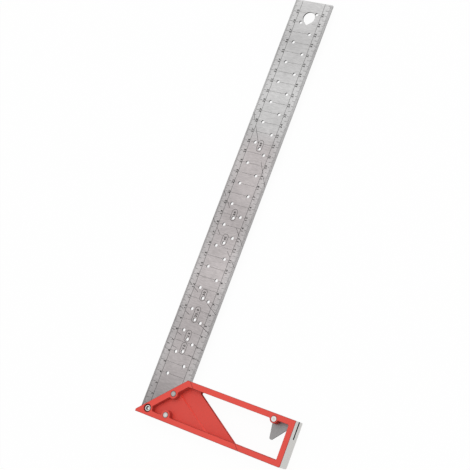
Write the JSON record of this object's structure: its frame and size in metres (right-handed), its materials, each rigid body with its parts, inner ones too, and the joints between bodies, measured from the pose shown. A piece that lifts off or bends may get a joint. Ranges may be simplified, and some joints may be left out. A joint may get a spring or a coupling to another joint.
{
  "type": "try and mitre square",
  "caption": "Try and mitre square: a holed and graduated steel blade fixed square in a cast stock with a mitred end, a window and a ledge that swings out past the fence.",
  "frame": {"origin": "the inner corner of the square, where the blade's inner edge meets the line of the fence, at half the thickness", "axes": "+X along the fence to the stock's free end, +Y along the blade to its tip, +Z out of the upper face as the square lies flat"},
  "size_m": [0.143, 0.4015, 0.017],
  "materials": {
    "stock_paint": "cast aluminium, painted satin red on its cast faces and milled bare on its edges",
    "blade_steel": "satin ground steel with dark etched scales",
    "ledge_steel": "satin rolled steel",
    "rivet_steel": "bright, set cold",
    "screw_steel": "plated"
  },
  "bodies": {
    "square": {"stock": "stock_paint", "blade": "blade_steel", "corner_screw": "screw_steel", "upper_blade_rivet": "rivet_steel", "lower_blade_rivet": "rivet_steel", "ledge_rivet": "rivet_steel"},
    "ledge": {"ledge": "ledge_steel"}
  },
  "joints": [
    {"name": "ledge_pivot", "type": "hinge", "parent": "square", "child": "ledge", "pos_m": [0.0859, -0.0049, 0], "axis": [0, 0, 1], "range_deg": [0, 90]}
  ]
}
